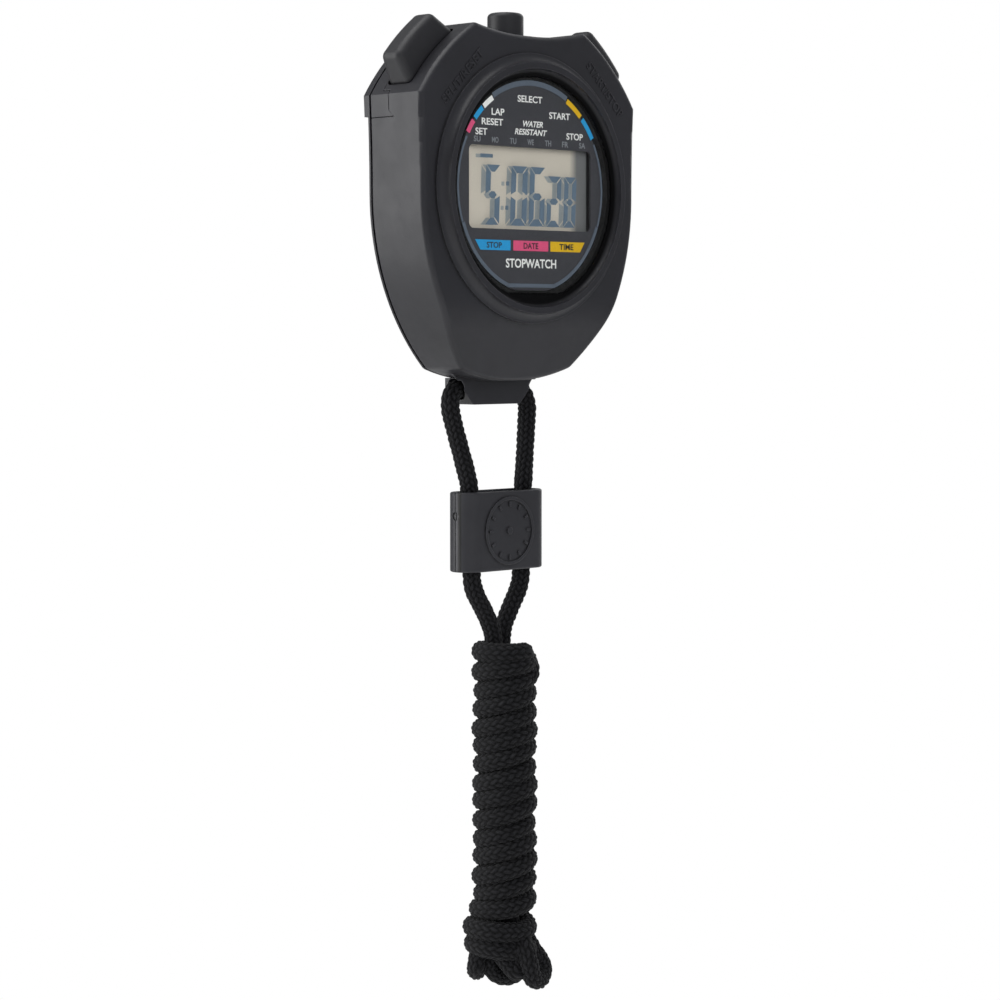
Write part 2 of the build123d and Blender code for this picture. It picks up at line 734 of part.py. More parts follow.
def side_cap(frame, seal_distance, clip_distance):
    """Side button: a block with sloping sides and a crowned top, hollow around its stem."""
    length = slot_length - 2 * slot_clearance
    height = slot_height - 2 * slot_clearance
    shoulder_distance = side_cap_base + side_cap_straight
    crown_start = side_cap_top - side_cap_crown
    with BuildPart() as cap:
        along = Plane(frame.origin, x_dir=frame.x_dir, z_dir=-frame.y_dir)
        with BuildSketch(along) as long_side:
            with BuildLine():
                sides = Polyline(
                    (-side_cap_top_length / 2, crown_start), (-length / 2, shoulder_distance),
                    (-length / 2, side_cap_base), (length / 2, side_cap_base),
                    (length / 2, shoulder_distance), (side_cap_top_length / 2, crown_start),
                )
                ThreePointArc(sides @ 0, (0, side_cap_top), sides @ 1)
            make_face()
        extrude(long_side.sketch, amount=height / 2, both=True)
        across = Plane(frame.origin, x_dir=frame.y_dir, z_dir=frame.x_dir)
        with BuildSketch(across) as short_side:
            with BuildLine():
                Polyline(
                    (-side_cap_top_height / 2, side_cap_top), (-height / 2, shoulder_distance),
                    (-height / 2, side_cap_base), (height / 2, side_cap_base),
                    (height / 2, shoulder_distance), (side_cap_top_height / 2, side_cap_top), close=True,
                )
            make_face()
        extrude(short_side.sketch, amount=length / 2, both=True, mode=Mode.INTERSECT)
        slanted = cap.edges().filter_by(lambda e: abs((e % 0.5).dot(frame.z_dir)) > facing)
        fillet(slanted, side_cap_edge_radius)
        outer = cap.faces().filter_by(lambda f: f.normal_at().dot(frame.z_dir) > facing)
        fillet(outer.edges(), side_cap_edge_radius)
        round_bar(frame, hollow_radius, side_cap_base, side_cap_base + side_hollow_depth, mode=Mode.SUBTRACT)
        add_stem(frame, side_cap_base + side_hollow_depth + fit_gap, seal_distance, clip_distance)
    return cap.part


def top_cap(frame, seal_distance, clip_distance):
    """Top button: a round cap, hollow around its stem."""
    with BuildPart() as cap:
        round_bar(frame, top_cap_radius, top_cap_base, top_cap_top)
        fillet(cap.edges().sort_by(Axis.Z)[-1], top_cap_edge_radius)
        round_bar(frame, hollow_radius, top_cap_base, top_cap_base + top_hollow_depth, mode=Mode.SUBTRACT)
        add_stem(frame, top_cap_base + top_hollow_depth + fit_gap, seal_distance, clip_distance)
    return cap.part


def stem_seal(frame, seal_distance):
    """O-ring in the outer groove of a button's stem."""
    ring_radius = (groove_radius + stem_bore_radius) / 2
    with BuildPart() as seal:
        with BuildSketch(Plane(frame.origin, x_dir=frame.x_dir, z_dir=-frame.y_dir)) as section:
            with Locations((ring_radius, seal_distance + seal_section + fit_gap / 2)):
                Circle(seal_section)
        revolve(section.sketch, axis=Axis(frame.origin, frame.z_dir))
    return seal.part


def stem_clip(frame, clip_distance):
    """Open ring that keeps a button's stem from sliding out of the case."""
    with BuildPart() as clip:
        with BuildSketch(frame.offset(clip_distance + fit_gap / 2)) as ring:
            Circle(clip_radius)
            Circle(groove_radius + clip_clearance, mode=Mode.SUBTRACT)
            with Locations((clip_radius / 2 + groove_radius, 0)):
                Rectangle(clip_radius + groove_radius, 2 * groove_radius, mode=Mode.SUBTRACT)
        extrude(ring.sketch, amount=clip_thickness)
    return clip.part


side_button = (side_cap, side_pocket_floor, side_cap_base + side_hollow_depth, chamber_chamfer_distance)
top_button = (top_cap, top_pocket_floor, top_cap_base + top_hollow_depth, chamber_top_height)

for name, angle, layout in (
    ("start", start_angle, side_button),
    ("lap", lap_angle, side_button),
    ("select", select_angle, top_button),
):
    frame = button_frame(angle)
    cap, floor, ceiling, inner_wall = layout
    seal_distance = floor - seal_below_floor
    clip_distance = inner_wall - clip_below_wall
    spring_ends = (floor + spring_seat_gap, ceiling - spring_seat_gap)
    save(cap(frame, seal_distance, clip_distance), f"{name}_button")
    save(stem_seal(frame, seal_distance), f"{name}_button_seal")
    save(stem_clip(frame, clip_distance), f"{name}_button_clip")
    save(coil(frame, spring_radius, spring_wire, *spring_ends, spring_turns), f"{name}_button_spring")
    save(contact_leaf(frame), f"{name}_contact_leaf")


# ---------------------------------------------------------------- neck cord and wrapped bundle

def at_depth(x, depth, z):
    """Point given by its place across, its depth in front of the parting plane and its height."""
    return (x, -depth, z)


left_turns, right_turns = [
    [at_depth(side * x, depth, z) for x, depth, z in cord_turns] for side in (-1, 1)
]

with BuildPart() as neck_cord:
    with BuildLine() as cord_path:
        FilletPolyline(
            at_depth(*cord_left_end), *reversed(left_turns), *right_turns, at_depth(*cord_right_end),
            radius=cord_bend_radius,
        )
    with BuildSketch(Plane(cord_path.line @ 0, z_dir=cord_path.line % 0)) as cord_section:
        Circle(cord_radius)
    sweep(cord_section.sketch, path=cord_path.line)
save(neck_cord.part, "neck_cord")

bundle_axis = Plane((bundle_center[0], -bundle_center[1], 0), x_dir=(1, 0, 0), z_dir=(0, -1, 0))
bundle_bottom = bundle_top - bundle_wraps * bundle_pitch

with BuildPart() as cord_bundle:
    with BuildSketch(bundle_axis) as ridges:
        with BuildLine():
            for wrap in range(bundle_wraps):
                top = bundle_top - wrap * bundle_pitch
                ThreePointArc(
                    (bundle_waist_radius, top), (bundle_radius, top - bundle_pitch / 2),
                    (bundle_waist_radius, top - bundle_pitch),
                )
            Polyline(
                (bundle_waist_radius, bundle_bottom), (0, bundle_bottom), (0, bundle_top),
                (bundle_waist_radius, bundle_top),
            )
        make_face()
    revolve(ridges.sketch, axis=Axis(bundle_axis.origin, (0, 0, 1)))
save(cord_bundle.part, "cord_bundle")

with BuildPart() as cord_end_loops:
    for x, depth, turn, lowest in end_loops:
        angle = radians(turn)
        across = Plane(
            at_depth(x, depth, 0), x_dir=(cos(angle), sin(angle), 0), z_dir=(sin(angle), -cos(angle), 0)
        )
        start = bundle_bottom - fit_gap
        with BuildLine(across) as loop_path:
            Line((-loop_half_span, start), (-loop_half_span, lowest + loop_half_span))
            turn_back = CenterArc((0, lowest + loop_half_span), loop_half_span, 180, 180)
            Line(turn_back @ 1, (loop_half_span, start))
        with BuildSketch(Plane(loop_path.line @ 0, z_dir=loop_path.line % 0)) as loop_section:
            Circle(cord_radius)
        sweep(loop_section.sketch, path=loop_path.line)
save(cord_end_loops.part, "cord_end_loops")


# ---------------------------------------------------------------- cord slider

slider_bottom = slider_top - slider_height
slider_post_reach = slider_half_thickness - slider_post_sink
slider_middle = Plane((0, -slider_depth, slider_bottom))
emblem_plane = Plane.XZ.offset(slider_depth + slider_half_thickness).shift_origin(
    (0, -slider_depth - slider_half_thickness, slider_top - slider_height / 2)
)


def slider_tube():
    """Flat oval tube, open at the top and at the bottom."""
    with BuildPart() as tube:
        with BuildSketch(slider_middle) as outer:
            SlotCenterToCenter(2 * slider_end_center, 2 * slider_half_thickness)
        extrude(outer.sketch, amount=slider_height)
        rims = tube.faces().filter_by(Axis.Z).edges()
        fillet(rims, slider_rim_radius)
        with BuildSketch(slider_middle) as inner:
            SlotCenterToCenter(2 * slider_end_center, 2 * (slider_half_thickness - slider_wall))
        extrude(inner.sketch, amount=slider_height, mode=Mode.SUBTRACT)
        for side in (-1, 1):
            end = Plane(
                (side * (slider_end_center + slider_half_thickness), -slider_depth, slider_top - dimple_drop),
                z_dir=(side, 0, 0),
            )
            round_bar(end, dimple_radius, -dimple_recess, dimple_recess, mode=Mode.SUBTRACT)
    return tube.part


with BuildPart() as slider_front_shell:
    add(slider_tube())
    split(bisect_by=Plane.XZ.offset(slider_depth + slider_seam / 2), keep=Keep.TOP)
    for drop in slider_post_drops:
        post = depth_line(0, slider_top - drop)
        pin_end = slider_depth + slider_pin_length
        round_bar(post, slider_post_radius, slider_depth + slider_seam / 2, slider_depth + slider_post_reach)
        round_bar(post, slider_pin_bore_radius, slider_depth, pin_end, mode=Mode.SUBTRACT)
    with BuildSketch(emblem_plane) as emblem:
        Circle(emblem_radius)
        Circle(emblem_radius - emblem_ring_width, mode=Mode.SUBTRACT)
        with PolarLocations(emblem_tick_circle, emblem_ticks):
            Rectangle(emblem_tick_length, emblem_tick_width)
        Circle(emblem_hub_radius)
    extrude(emblem.sketch, amount=emblem_relief)
save(slider_front_shell.part, "slider_front_shell")

with BuildPart() as slider_rear_shell:
    add(slider_tube())
    split(bisect_by=Plane.XZ.offset(slider_depth - slider_seam / 2), keep=Keep.BOTTOM)
    for drop in slider_post_drops:
        post = depth_line(0, slider_top - drop)
        round_bar(post, slider_post_radius, slider_depth - slider_post_reach, slider_depth - slider_seam / 2)
        round_bar(post, slider_pin_radius, slider_depth - slider_seam, pin_end - fit_gap)
save(slider_rear_shell.part, "slider_rear_shell")
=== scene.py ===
import json
from math import cos, pi, radians, sin

import bpy
import numpy as np
from mathutils import Matrix, Vector


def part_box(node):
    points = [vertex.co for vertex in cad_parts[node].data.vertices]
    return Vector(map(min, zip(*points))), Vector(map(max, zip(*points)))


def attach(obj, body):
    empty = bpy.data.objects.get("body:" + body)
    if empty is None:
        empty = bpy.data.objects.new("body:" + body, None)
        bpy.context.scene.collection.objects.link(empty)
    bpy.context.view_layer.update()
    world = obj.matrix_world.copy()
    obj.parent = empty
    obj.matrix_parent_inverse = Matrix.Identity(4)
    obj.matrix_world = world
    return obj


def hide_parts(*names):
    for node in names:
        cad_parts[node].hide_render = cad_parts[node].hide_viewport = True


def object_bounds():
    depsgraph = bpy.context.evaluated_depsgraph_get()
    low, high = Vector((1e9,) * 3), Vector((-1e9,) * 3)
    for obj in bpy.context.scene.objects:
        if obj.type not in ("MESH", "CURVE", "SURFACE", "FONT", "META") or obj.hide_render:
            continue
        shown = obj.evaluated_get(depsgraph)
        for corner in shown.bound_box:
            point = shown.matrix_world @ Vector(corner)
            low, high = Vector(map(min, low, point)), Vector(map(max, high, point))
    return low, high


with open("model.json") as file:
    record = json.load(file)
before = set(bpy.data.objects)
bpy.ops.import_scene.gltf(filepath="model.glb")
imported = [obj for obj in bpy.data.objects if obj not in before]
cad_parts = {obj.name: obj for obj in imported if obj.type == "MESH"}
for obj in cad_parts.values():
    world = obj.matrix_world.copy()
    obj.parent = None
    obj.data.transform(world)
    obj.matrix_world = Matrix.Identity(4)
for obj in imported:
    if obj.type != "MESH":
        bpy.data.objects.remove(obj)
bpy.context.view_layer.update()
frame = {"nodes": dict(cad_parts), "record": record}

# Looks of the digital stopwatch: finishes for the CAD pieces, the dial's print, the liquid
# crystal display, the raised words on the case and the braided cord.
#
# Places are in millimetres in the CAD's own axes: +X right seen from the front, -Y towards
# the viewer, +Z up. MM turns them into metres when a mesh is made.

MM = 0.001


# ---------------------------------------------------------------- driving places, from the frame

def front_of(node):
    """The y of a CAD piece's foremost face, in millimetres."""
    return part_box(node)[0].y / MM


def back_of(node):
    """The y of a CAD piece's rearmost face, in millimetres."""
    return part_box(node)[1].y / MM


dial_front = front_of("dial_plate")
lens_back = back_of("window_lens")
glass_front = front_of("lcd_glass")
glass_back = back_of("lcd_glass")
slider_seam = front_of("slider_rear_shell")
bezel_height = 2.4                # the bezel stands this far in front of the case's face
face_front = front_of("front_case") + bezel_height
print_thickness = 0.02
print_gap = 0.01                  # between a print and the surface behind it


# ---------------------------------------------------------------- mesh helpers

def add_piece(name, mesh, material, body):
    """Put a mesh in the scene as a piece that rides on a body and takes a material slot's finish."""
    piece = bpy.data.objects.new(name, mesh)
    bpy.context.scene.collection.objects.link(piece)
    mesh.materials.clear()
    mesh.materials.append(material)
    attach(piece, body)
    return piece


def mesh_from(name, vertices, faces):
    """Mesh from places in millimetres."""
    mesh = bpy.data.meshes.new(name)
    mesh.from_pydata([Vector(v) * MM for v in vertices], [], faces)
    mesh.update()
    return mesh


def slab(outlines, front, thickness):
    """Vertices and faces of flat slabs that face the viewer; each outline is anticlockwise, in x and z."""
    vertices = []
    faces = []
    for outline in outlines:
        first = len(vertices)
        count = len(outline)
        vertices += [(x, front, z) for x, z in outline]
        vertices += [(x, front + thickness, z) for x, z in outline]
        faces.append([first + i for i in range(count)])
        faces.append([first + count + i for i in reversed(range(count))])
        for i in range(count):
            j = (i + 1) % count
            faces.append([first + j, first + i, first + count + i, first + count + j])
    return vertices, faces


def add_print(name, outlines, front, material):
    """Thin printed shapes on a plane that faces the viewer."""
    mesh = mesh_from(name, *slab(outlines, front, print_thickness))
    return add_piece(name, mesh, material, "case")


def rounded_box(x0, z0, x1, z1, radius, steps=6):
    """Outline of a rectangle with round corners."""
    points = []
    for cx, cz, start in (
        (x1 - radius, z0 + radius, -90), (x1 - radius, z1 - radius, 0),
        (x0 + radius, z1 - radius, 90), (x0 + radius, z0 + radius, 180),
    ):
        for i in range(steps + 1):
            a = radians(start + 90 * i / steps)
            points.append((cx + radius * cos(a), cz + radius * sin(a)))
    return points


def ring_band(start, end, inner, outer, steps_per_degree=0.5):
    """Outline of a part of a ring about the dial's axis, between two angles in degrees."""
    steps = max(2, int((end - start) * steps_per_degree))
    angles = [radians(start + (end - start) * i / steps) for i in range(steps + 1)]
    outside = [(outer * cos(a), outer * sin(a)) for a in angles]
    inside = [(inner * cos(a), inner * sin(a)) for a in reversed(angles)]
    return outside + inside


def word_mesh(words, width, cap_height, depth, weight, slant):
    """Mesh of words in the plain built-in face, its front at y = 0, centred, in millimetres."""
    curve = bpy.data.curves.new(words, "FONT")
    curve.body = words
    curve.offset = weight
    curve.shear = slant
    curve.extrude = 0.5
    curve.resolution_u = 4
    text = bpy.data.objects.new(words, curve)
    bpy.context.scene.collection.objects.link(text)
    bpy.context.view_layer.update()
    mesh = bpy.data.meshes.new_from_object(text)
    bpy.data.objects.remove(text)
    bpy.data.curves.remove(curve)
    places = np.array([v.co for v in mesh.vertices])
    low = places.min(0)
    high = places.max(0)
    scale = Vector((width / (high[0] - low[0]), cap_height / (high[1] - low[1]), depth))
    middle = Vector((low + high) / 2)
    mesh.transform(Matrix.Diagonal(scale).to_4x4() @ Matrix.Translation(-middle))
    mesh.transform(Matrix.Rotation(pi / 2, 4, "X"))
    mesh.transform(Matrix.Translation((0, depth / 2, 0)))
    return mesh


def add_word(name, words, centre, width, cap_height, front, material,
             turn=0.0, depth=print_thickness, weight=0.02, slant=0.0):
    """Printed or raised words, centred on a place given by its x and z."""
    mesh = word_mesh(words, width, cap_height, depth, weight, slant)
    mesh.transform(Matrix.Rotation(radians(-turn), 4, "Y"))
    mesh.transform(Matrix.Translation((centre[0], front, centre[1])))
    mesh.transform(Matrix.Scale(MM, 4))
    return add_piece(name, mesh, material, "case")


# ---------------------------------------------------------------- material helpers

class Recipe:
    """A node material under construction around one Principled shader."""

    def __init__(self, name):
        self.material = bpy.data.materials.new(name)
        self.material.use_nodes = True
        self.nodes = self.material.node_tree.nodes
        self.links = self.material.node_tree.links
        self.shader = self.nodes["Principled BSDF"]
        self.output = self.nodes["Material Output"]
        self.place = self.node("ShaderNodeTexCoord").outputs["Object"]

    def node(self, kind, **settings):
        """New node; each setting is an input's name or, failing that, a property's name."""
        node = self.nodes.new(kind)
        for key, value in settings.items():
            label = key.replace("_", " ")
            if label in node.inputs:
                node.inputs[label].default_value = value
            else:
                setattr(node, key, value)
        return node

    def join(self, source, target):
        self.links.new(source, target)

    def noise(self, scale, detail=3.0, roughness=0.6, vector=None):
        """Noise of this scale, in features per metre, from 0 to 1."""
        node = self.node("ShaderNodeTexNoise", Scale=scale, Detail=detail, Roughness=roughness)
        self.join(vector or self.place, node.inputs["Vector"])
        return node.outputs["Fac"]

    def ramp(self, value, low, high, start=0.3, end=0.7):
        """Value spread from one number to another."""
        node = self.node("ShaderNodeMapRange")
        node.inputs["From Min"].default_value = start
        node.inputs["From Max"].default_value = end
        node.inputs["To Min"].default_value = low
        node.inputs["To Max"].default_value = high
        self.join(value, node.inputs["Value"])
        return node.outputs["Result"]

    def blend(self, factor, first, second):
        """Colour between two colours or colour sockets."""
        node = self.node("ShaderNodeMix", data_type="RGBA")
        self.join(factor, node.inputs["Factor"])
        for index, colour in ((6, first), (7, second)):
            if isinstance(colour, tuple):
                node.inputs[index].default_value = colour
            else:
                self.join(colour, node.inputs[index])
        return node.outputs[2]

    def math(self, operation, first, second=0.0):
        """Result of an operation on two values, of which the second may be a number."""
        node = self.node("ShaderNodeMath", operation=operation)
        self.join(first, node.inputs[0])
        if isinstance(second, (int, float)):
            node.inputs[1].default_value = second
        else:
            self.join(second, node.inputs[1])
        return node.outputs[0]

    def part(self, vector, axis):
        """The X, Y or Z part of a vector."""
        node = self.node("ShaderNodeSeparateXYZ")
        self.join(vector, node.inputs["Vector"])
        return node.outputs[axis]

    def openness(self, reach):
        """How open the surface is within a reach in metres, from 0 in a crevice to 1."""
        return self.node("ShaderNodeAmbientOcclusion", samples=6, Distance=reach).outputs["AO"]

    def bump(self, height, distance, normal=None):
        """Bump of a real height, in metres."""
        node = self.node("ShaderNodeBump", Strength=1.0, Distance=distance)
        self.join(height, node.inputs["Height"])
        if normal is not None:
            self.join(normal, node.inputs["Normal"])
        return node.outputs["Normal"]

    def set(self, **inputs):
        for key, value in inputs.items():
            socket = self.shader.inputs[key.replace("_", " ")]
            if isinstance(value, (int, float, tuple)):
                socket.default_value = value
            else:
                self.join(value, socket)


def colour(code):
    """Linear colour from a hexadecimal one."""
    levels = [int(code[i:i + 2], 16) / 255 for i in (1, 3, 5)]
    return tuple(c / 12.92 if c <= 0.04045 else ((c + 0.055) / 1.055) ** 2.4 for c in levels) + (1.0,)


seam_shade_width = 0.5                  # width of the painted shade along the gap between two plastic shells, a dark line
edge_radius = 0.25
plastic_crevice = 0.7             # reach of the painted shade in the plastic's corners
braid_crevice = 1.6               # and between the cord's wraps
# Painted shade in the window pocket: its wall round the dial is painted black, as shade falls there.
pocket_radius = 24.4              # the bezel's inner rim
rim_inside = 0.5                  # the pocket's painted shade fades out from here inside the rim
rim_outside = 0.3                 # to here outside it
pocket_floor = -9.0               # and nothing behind this place gets the painted shade
pocket_fade = 1.0


def scaled(tint, factor, lift=0.0):
    """Paler or darker version of a linear colour."""
    return tuple(min(1, c * factor + lift) for c in tint[:3]) + (1.0,)


def pocket_shade_mask(r, position):
    """One inside the window pocket, which is round the dial's axis at the front, and zero elsewhere."""
    flat = r.node("ShaderNodeVectorMath", operation="MULTIPLY")
    r.join(position, flat.inputs[0])
    flat.inputs[1].default_value = (1, 0, 1)
    distance = r.node("ShaderNodeVectorMath", operation="LENGTH")
    r.join(flat.outputs["Vector"], distance.inputs[0])
    inner = (pocket_radius - rim_inside) * MM
    outer = (pocket_radius + rim_outside) * MM
    radial = r.ramp(distance.outputs["Value"], 1, 0, inner, outer)
    front = (pocket_floor - pocket_fade) * MM
    at_front = r.ramp(r.part(position, "Y"), 1, 0, front, pocket_floor * MM)
    return r.math("MULTIPLY", radial, at_front)


def seam_shade_mask(r, place):
    """Zero on the joint between two shells, at this place front to back, and one elsewhere."""
    clear = r.math("ABSOLUTE", r.math("SUBTRACT", r.part(r.place, "Y"), place * MM))
    return r.ramp(clear, 0, 1, seam_shade_width * MM / 2, seam_shade_width * MM)


def moulded_plastic(name, dark, light, roughness, paints_pocket_shade=False, seam_place=None):
    """Moulded plastic: spark-eroded grain, handling marks, and edges rubbed a little smoother and paler.

    The window pocket, if there is one, is painted black and dull as shade, a seam is a dark line of
    painted shade, and painted shade darkens the corners and crevices.
    """
    r = Recipe(name)
    bevel = r.node("ShaderNodeBevel", samples=4, Radius=edge_radius * MM)
    geometry = r.node("ShaderNodeNewGeometry")
    edge = r.node("ShaderNodeVectorMath", operation="DISTANCE")
    r.join(bevel.outputs["Normal"], edge.inputs[0])
    r.join(geometry.outputs["Normal"], edge.inputs[1])
    patches = r.ramp(r.noise(900), 0.15, 1, 0.4, 0.65)
    worn = r.math("MULTIPLY", r.ramp(edge.outputs["Value"], 0, 1, 0.1, 0.6), patches)
    clouds = r.blend(r.ramp(r.noise(55, 4), 0, 1), colour(dark), colour(light))
    rubbed = r.blend(worn, clouds, scaled(colour(light), 2.6, 0.012))
    # Painted shade: corners and crevices darken to near black where the ambient occlusion finds them.
    clear_of_painted_shade = r.ramp(r.openness(plastic_crevice * MM), 0, 1, 0.45, 0.95)
    surface = r.blend(clear_of_painted_shade, colour("#08080A"), rubbed)
    if seam_place is not None:
        # Painted shade: a dark line along the gap between the two shells.
        surface = r.blend(seam_shade_mask(r, seam_place), colour("#020202"), surface)
    if paints_pocket_shade:
        # Painted shade: the pocket's wall turns black and dull.
        pocket = pocket_shade_mask(r, geometry.outputs["Position"])
        surface = r.blend(pocket, surface, colour("#060607"))
        r.set(Specular_IOR_Level=r.ramp(pocket, 0.5, 0.08, 0, 1))
    satin = r.node("ShaderNodeMix", data_type="FLOAT")
    r.join(worn, satin.inputs["Factor"])
    r.join(r.ramp(r.noise(160, 5, 0.7), roughness - 0.06, roughness + 0.07), satin.inputs[2])
    satin.inputs[3].default_value = roughness - 0.12
    r.set(Base_Color=surface, Roughness=satin.outputs[0])
    r.set(Normal=r.bump(r.noise(3200, 2, 0.5), 6e-6, bevel.outputs["Normal"]))
    return r.material


def soft_rubber(name, dark, light, roughness=0.75):
    """Rubber: dull, with faint bloom."""
    r = Recipe(name)
    r.set(Base_Color=r.blend(r.ramp(r.noise(400, 4), 0, 1), colour(dark), colour(light)))
    r.set(Roughness=r.ramp(r.noise(700), roughness - 0.1, roughness + 0.1))
    r.set(Normal=r.bump(r.noise(2500), 4e-6))
    return r.material


def bare_metal(name, tint, roughness):
    """Metal with fine brushing and a little tarnish."""
    r = Recipe(name)
    stretch = r.node("ShaderNodeMapping")
    stretch.inputs["Scale"].default_value = (200, 200, 6000)
    r.join(r.place, stretch.inputs["Vector"])
    lines = r.noise(1, vector=stretch.outputs["Vector"])
    tarnish = r.ramp(r.noise(500, 4), 0, 1, 0.45, 0.75)
    r.set(Base_Color=r.blend(tarnish, colour(tint), scaled(colour(tint), 0.6)))
    r.set(Metallic=1.0, Roughness=r.ramp(lines, roughness - 0.08, roughness + 0.12))
    r.set(Normal=r.bump(lines, 3e-6))
    return r.material


def printed(name, code, roughness=0.45):
    """Screen-printed ink: even colour with slight density changes and a faint orange peel."""
    r = Recipe(name)
    r.set(Base_Color=r.blend(r.ramp(r.noise(1500), 0, 1), colour(code), scaled(colour(code), 0.9)))
    r.set(Roughness=r.ramp(r.noise(900), roughness - 0.05, roughness + 0.05))
    r.set(Normal=r.bump(r.noise(3500), 1.5e-6))
    return r.material


def clear_sheet(name, ior, tint, haze):
    """Clear window: the light goes straight through and the front reflects, with faint smears."""
    r = Recipe(name)
    through = r.node("ShaderNodeBsdfTransparent", Color=tint)
    shine = r.node("ShaderNodeBsdfGlossy")
    r.join(r.ramp(r.noise(120, 5), haze, haze + 0.05), shine.inputs["Roughness"])
    fresnel = r.node("ShaderNodeFresnel", IOR=ior)
    geometry = r.node("ShaderNodeNewGeometry")
    outside = r.ramp(geometry.outputs["Backfacing"], 1, 0, 0, 1)
    mix = r.node("ShaderNodeMixShader")
    r.join(r.math("MULTIPLY", fresnel.outputs["Fac"], outside), mix.inputs["Fac"])
    r.join(through.outputs["BSDF"], mix.inputs[1])
    r.join(shine.outputs["BSDF"], mix.inputs[2])
    r.join(mix.outputs["Shader"], r.output.inputs["Surface"])
    return r.material


def display_film(name):
    """Silvery backing of the display: warm grey, fine sparkle, painted shade towards its right edge."""
    r = Recipe(name)
    # Painted shade: the backing darkens towards its right edge.
    shade = r.ramp(r.part(r.place, "X"), 0, 0.9, 13.2 * MM, 15.4 * MM)
    speckle = r.blend(r.ramp(r.noise(6000, 1), 0, 1), colour("#D9CFC3"), colour("#CDC4B8"))
    r.set(Base_Color=r.blend(shade, speckle, colour("#5C6066")))
    r.set(Roughness=r.ramp(r.noise(3000), 0.45, 0.6), Normal=r.bump(r.noise(9000), 1e-6))
    return r.material


def board_laminate(name):
    """Green solder mask over faint copper traces."""
    r = Recipe(name)
    lanes = r.node("ShaderNodeTexBrick", Scale=260.0, Mortar_Size=0.03)
    turned = r.node("ShaderNodeMapping")
    turned.inputs["Rotation"].default_value = (pi / 2, 0, 0)
    r.join(r.place, turned.inputs["Vector"])
    r.join(turned.outputs["Vector"], lanes.inputs["Vector"])
    r.set(Base_Color=r.blend(lanes.outputs["Fac"], colour("#0F4A24"), colour("#1D6B36")))
    r.set(Roughness=r.ramp(r.noise(600), 0.25, 0.4), Normal=r.bump(lanes.outputs["Fac"], 2e-5))
    return r.material


def braid_material(name):
    """Black polyester braid: fine fibres along each strand, dull, with paler dust in patches; painted
    shade darkens the valleys between strands and between wraps, which leaves the crowns paler.
    """
    r = Recipe(name)
    strand = r.node("ShaderNodeAttribute", attribute_name="strand")
    crown = r.node("ShaderNodeAttribute", attribute_name="crown")
    fibres = r.noise(1, 3, 0.65, strand.outputs["Vector"])
    yarn = r.blend(r.ramp(fibres, 0, 1, 0.35, 0.68), colour("#08080A"), colour("#28282B"))
    # Painted shade: valleys between strands and crevices between wraps darken to near black.
    raised_part = r.ramp(crown.outputs["Fac"], 0, 1, 0.25, 0.95)
    clear_of_painted_shade = r.ramp(r.openness(braid_crevice * MM), 0.1, 1, 0.15, 0.75)
    shaded = r.blend(r.math("MULTIPLY", raised_part, clear_of_painted_shade), colour("#010101"), yarn)
    dust = r.ramp(r.noise(1400, 5, 0.8), 0, 0.3, 0.6, 0.74)
    r.set(Base_Color=r.blend(dust, shaded, colour("#3A3A3C")))
    r.set(Roughness=0.8, Sheen_Weight=0.08, Sheen_Roughness=0.45, Specular_IOR_Level=0.22)
    r.set(Normal=r.bump(fibres, 4e-5))
    return r.material


# ---------------------------------------------------------------- materials of the CAD pieces

finishes = {
    "case_plastic": moulded_plastic("case_plastic", "#1F1F23", "#25252A", 0.42, paints_pocket_shade=True),
    "button_plastic": moulded_plastic("button_plastic", "#1F1F22", "#262629", 0.46),
    "slider_plastic": moulded_plastic("slider_plastic", "#26262A", "#2D2D31", 0.42, seam_place=slider_seam),
    "seal_rubber": soft_rubber("seal_rubber", "#0A0A0A", "#141414"),
    "zebra_rubber": soft_rubber("zebra_rubber", "#B07A8C", "#8C5F70"),
    "screw_steel": bare_metal("screw_steel", "#B8B8B8", 0.3),
    "window_clear": clear_sheet("window_clear", 1.38, (0.98, 0.985, 0.985, 1.0), 0.02),
    "dial_print": printed("dial_print", "#3A3A3F", 0.5),
    "display_glass": clear_sheet("display_glass", 1.2, (0.98, 0.985, 0.97, 1.0), 0.05),
    "display_backing": display_film("display_backing"),
    "frame_plastic": moulded_plastic("frame_plastic", "#C9C8C2", "#D8D7D1", 0.5),
    "board_laminate": board_laminate("board_laminate"),
    "chip_epoxy": soft_rubber("chip_epoxy", "#050505", "#0C0C0C", 0.25),
    "component_ceramic": soft_rubber("component_ceramic", "#B8A98C", "#9C8F76", 0.5),
    "contact_metal": bare_metal("contact_metal", "#C9C0AC", 0.3),
    "battery_steel": bare_metal("battery_steel", "#CFCFD1", 0.22),
    "buzzer_brass": bare_metal("buzzer_brass", "#CDA857", 0.3),
    "clip_steel": bare_metal("clip_steel", "#77736C", 0.35),
    "spring_steel": bare_metal("spring_steel", "#B4B4B8", 0.25),
    "cord_braid": braid_material("cord_braid"),
}

for part in frame["record"]["subparts"]:
    cad_object = frame["nodes"][part["node"]]
    cad_object.data.materials.clear()
    cad_object.data.materials.append(finishes[part["material_slot"]])


# ---------------------------------------------------------------- printed dial

ink = {
    "white": printed("ink_white", "#F6F6F3"),
    "grey": printed("ink_grey", "#83878C"),
    "slate": printed("ink_slate", "#56616E"),
    "blue": printed("ink_blue", "#1E9BD7"),
    "pink": printed("ink_pink", "#E0527F"),
    "yellow": printed("ink_yellow", "#E3B505"),
    "dark": printed("ink_dark", "#26262A"),
}
dial_print_front = dial_front - print_gap - print_thickness
upper_print_front = dial_print_front - print_thickness
ring_front = lens_back - print_gap - print_thickness

